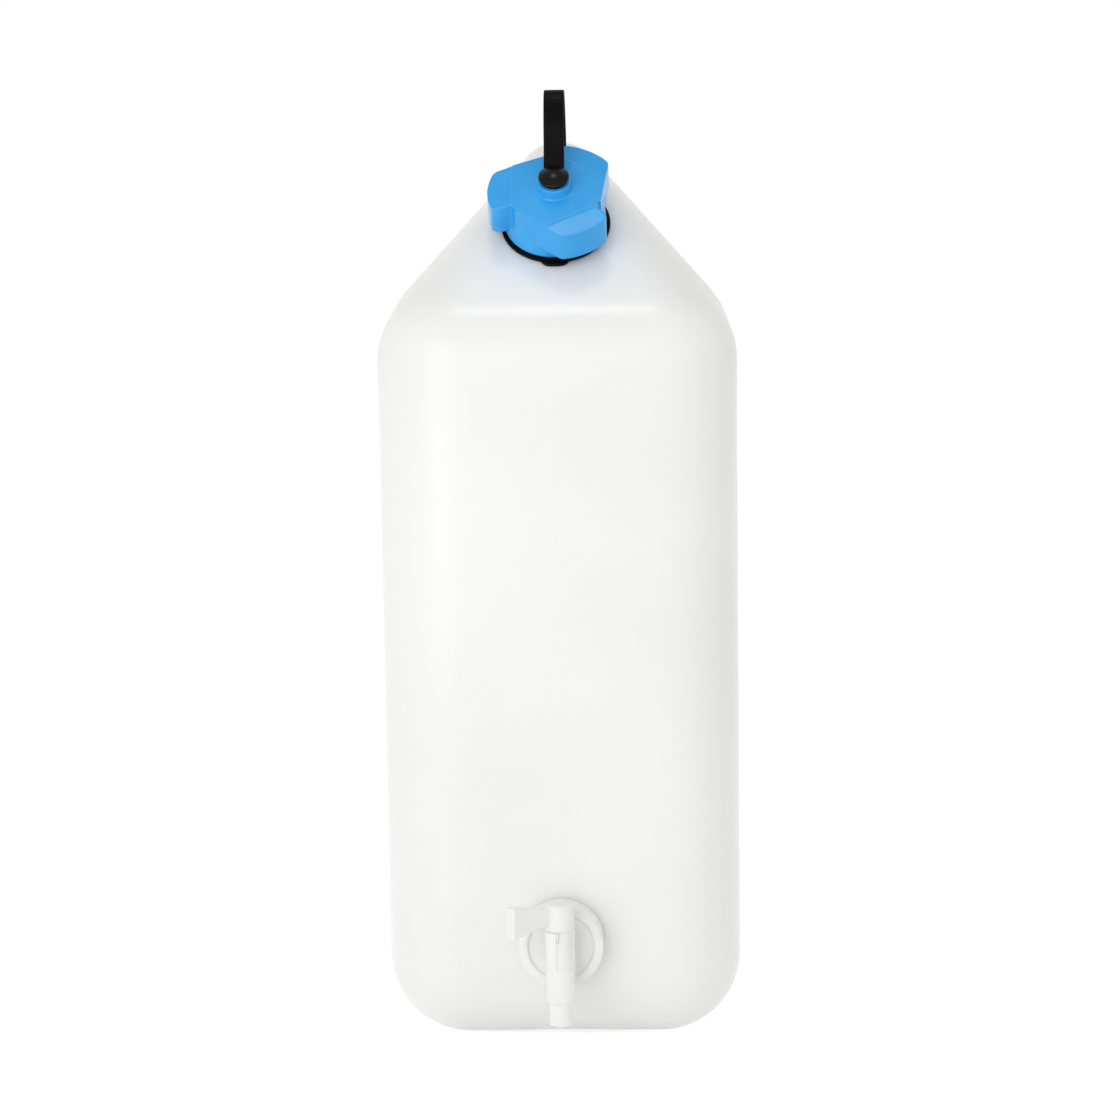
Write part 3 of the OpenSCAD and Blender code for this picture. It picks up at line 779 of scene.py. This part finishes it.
# Tap nut: white polypropylene, screwed on the outlet. Its front is a flat web inside a raised
# rim, with a hole for the tap's inlet tube.
barrel_foot = Vector(joints["tap_turn"]["pos_m"])
outlet_place = (Matrix.Translation((0, front_y, barrel_foot.z))
                @ Matrix.Rotation(pi / 2, 4, "X"))
outlet_r = 17.5 * MM
outlet_bore_r = 13 * MM
outlet_end = 8 * MM
outlet_sink = 4 * MM
nut_start = 0.6 * MM
nut_bore_r = outlet_r + 0.3 * MM
nut_r = nut_bore_r + 2.4 * MM
flange_foot = 10 * MM
web_foot = flange_foot + 2.5 * MM
web_top = web_foot + 2 * MM
nut_front = web_top + 2 * MM
rim_inner_r = nut_r - 4.4 * MM
inlet_r = 6.2 * MM
web_hole_r = inlet_r + 0.3 * MM
white_polypropylene = moulded_plastic(
    "white_polypropylene_moulded", "#f0f0ec", "#f5f5f2", roughness=0.34, grain_size=0.7 * MM,
    grain_depth=0.04 * MM, glow=0.2)
nut = start_piece("tap_nut_moulding", turned(filleted([
    (nut_bore_r, nut_start, 0.3 * MM), (nut_r, nut_start, 0.8 * MM),
    (nut_r, nut_front, 1.2 * MM), (rim_inner_r, nut_front, 1 * MM),
    (rim_inner_r, web_top, 0.7 * MM), (web_hole_r, web_top, 0.4 * MM),
    (web_hole_r, web_foot, 0.3 * MM), (nut_bore_r, web_foot, 0.4 * MM)]), 128))
finish_piece(nut, outlet_place, white_polypropylene, "tap_nut",
             "container")
outlet = start_piece("outlet", turned(filleted([
    (outlet_bore_r, -outlet_sink, 0), (outlet_bore_r, outlet_end, 0.4 * MM),
    (outlet_r, outlet_end, 0.6 * MM), (outlet_r, -outlet_sink, 0)])))
finish_piece(outlet, outlet_place, polyethylene, "container_body",
             "container")

# The gasket between the outlet's lip and the tap's flange is cut from grey rubber sheet: matt,
# with a fine dusty mottle
dust_size = 0.9 * MM
rubber, tree = new_material("grey_rubber_sheet")
place = add_node(tree, "ShaderNodeTexCoord").outputs["Object"]
dust = add_node(tree, "ShaderNodeTexNoise", None, {
    "Vector": place, "Scale": 1 / dust_size, "Detail": 3, "Roughness": 0.6})
rubber_tint = add_node(tree, "ShaderNodeValToRGB", None, {"Fac": dust.outputs[0]})
rubber_tint.color_ramp.elements[0].color = srgb("#363636")
rubber_tint.color_ramp.elements[1].color = srgb("#454545")
rubber_bump = add_node(tree, "ShaderNodeBump", None, {
    "Height": dust.outputs[0], "Strength": 0.4, "Distance": 0.05 * MM})
rubber_shader = add_node(tree, "ShaderNodeBsdfPrincipled", None, {
    "Base Color": rubber_tint.outputs[0], "Roughness": 0.8, "IOR": 1.52,
    "Normal": rubber_bump.outputs[0]})
add_node(tree, "ShaderNodeOutputMaterial", None, {"Surface": rubber_shader.outputs[0]})
for coat in frame["nodes"]["tap_gasket"].material_slots:
    coat.material = rubber


# Tap body: one white polypropylene moulding of flange, inlet tube, upright barrel and nozzle. The
# barrel's front is relieved up to its rim, where the lever's lug stops at both ends of its turn.
barrel_place = Matrix.Translation(barrel_foot)
from_outlet = barrel_place.inverted() @ outlet_place
tap_out = front_y - barrel_foot.y
flange_r = nut_bore_r - 1.2 * MM
plug_r = 4.9 * MM
barrel_r = plug_r + 2.15 * MM
relief_r = barrel_r - 0.9 * MM
barrel_top, barrel_low = 12.6 * MM, -21.6 * MM
nozzle_r = 5.4 * MM
nozzle_low = barrel_low - 11.4 * MM
bore_r = 3.5 * MM
port_r = 3.2 * MM
plug_low = -13.7 * MM
relief_low = -5.6 * MM
stop_start, stop_end = radians(258), radians(358)

inlet = turned([
    (0, flange_foot), (flange_r, flange_foot), (flange_r, web_foot), (inlet_r, web_foot),
    (inlet_r, tap_out), (0, tap_out)])
inlet.transform(from_outlet)
body = start_piece("tap_body_moulding", turned([
    (0, nozzle_low), (nozzle_r, nozzle_low), (nozzle_r, barrel_low), (barrel_r, barrel_low),
    (barrel_r, barrel_top), (0, barrel_top)]))
join(body, inlet)
sector = [(0, 0)] + [tuple(polar(2 * barrel_r, stop_start + (stop_end - stop_start) * k / 4))
                     for k in range(5)]
relief = start_piece("relief", prism(sector, relief_low, barrel_top + MM))
cut(relief, disc(relief_r, relief_low - MM, barrel_top + 2 * MM))
combine(body, relief, "DIFFERENCE")
cut(body, disc(plug_r + 0.05 * MM, plug_low - 0.3 * MM, barrel_top + MM))
cut(body, disc(bore_r, nozzle_low - MM, 0, 64))
port = disc(port_r, 0, tap_out, 64)
port.transform(from_outlet)
cut(body, port)
round_edges(body, grid=0.3 * MM, passes=2)
finish_piece(body, barrel_place, white_polypropylene, "tap_body",
             "container")


# Lever: one white moulding of round head, blade and the plug that turns in the barrel. The blade
# grows taller and thicker towards its end, and the plug's port meets the inlet when it is open.
head_low = barrel_top + 0.12 * MM
head_r = 6.9 * MM
head_top = head_low + 12.8 * MM
blade_z = barrel_top + 7.8 * MM
lever_len = 29 * MM
lever_dir = radians(180 + 38)
plug_side = plug_r - 0.15 * MM
lever = start_piece("tap_lever_moulding", turned(filleted([
    (0, plug_low, 0), (plug_side, plug_low, 0.5 * MM), (plug_side, head_low, 0),
    (head_r, head_low, 0.2 * MM), (head_r, head_top, 1.4 * MM), (0, head_top, 0)])))
# Each section of the blade: distance from the barrel's axis, half thickness, half height, edge
# radius
blade_sections = [(4 * MM, 1.75 * MM, 4 * MM, 1.2 * MM), (head_r, 1.75 * MM, 4 * MM, 1.2 * MM),
                  (lever_len - 1 * MM, 3.45 * MM, 7.75 * MM, 1.9 * MM),
                  (lever_len - 0.3 * MM, 3.2 * MM, 7.5 * MM, 1.7 * MM),
                  (lever_len, 2.6 * MM, 6.9 * MM, 1.2 * MM)]
blade_rings = [[(x, y, z) for y, z in filleted([
    (half_t, half_h, edge), (-half_t, half_h, edge), (-half_t, -half_h, edge),
    (half_t, -half_h, edge)])] for x, half_t, half_h, edge in blade_sections]
per_ring = len(blade_rings[0])
last_ring = per_ring * (len(blade_rings) - 1)
blade_faces = [tuple(range(per_ring)), tuple(range(last_ring, last_ring + per_ring))]
blade_faces += [(start + i, start + (i + 1) % per_ring,
                 start + per_ring + (i + 1) % per_ring, start + per_ring + i)
                for start in range(0, last_ring, per_ring) for i in range(per_ring)]
blade = tidy_mesh([vert for ring_verts in blade_rings for vert in ring_verts], blade_faces)
blade.transform(Matrix.Translation((0, 0, blade_z)) @ Matrix.Rotation(lever_dir, 4, "Z"))
join(lever, blade)
cut(lever, disc(bore_r, plug_low - MM, port_r + MM, 64))
plug_port = disc(port_r, 0, 2 * plug_r, 64)
plug_port.transform(Matrix.Rotation(pi / 2, 4, "Y"))
cut(lever, plug_port)
round_edges(lever, grid=0.3 * MM, passes=3)
# The stop lug hangs from the head into the barrel's relief, a little clear of it all round
lug_from, lug_to = stop_start + radians(1), stop_start + radians(9)
stop_lug = arc((0, 0), barrel_r - 0.15 * MM, lug_from, lug_to, 4)
stop_lug += arc((0, 0), relief_r + 0.15 * MM, lug_to, lug_from, 4)
join(lever, prism(stop_lug, head_low - 5 * MM, head_low + MM))
white_lever = moulded_plastic("white_lever_moulded", "#efefec", "#f4f4f1", roughness=0.32,
                              grain_size=0.7 * MM, grain_depth=0.04 * MM, glow=0.2)
finish_piece(lever, barrel_place, white_lever, "tap_lever", "lever")
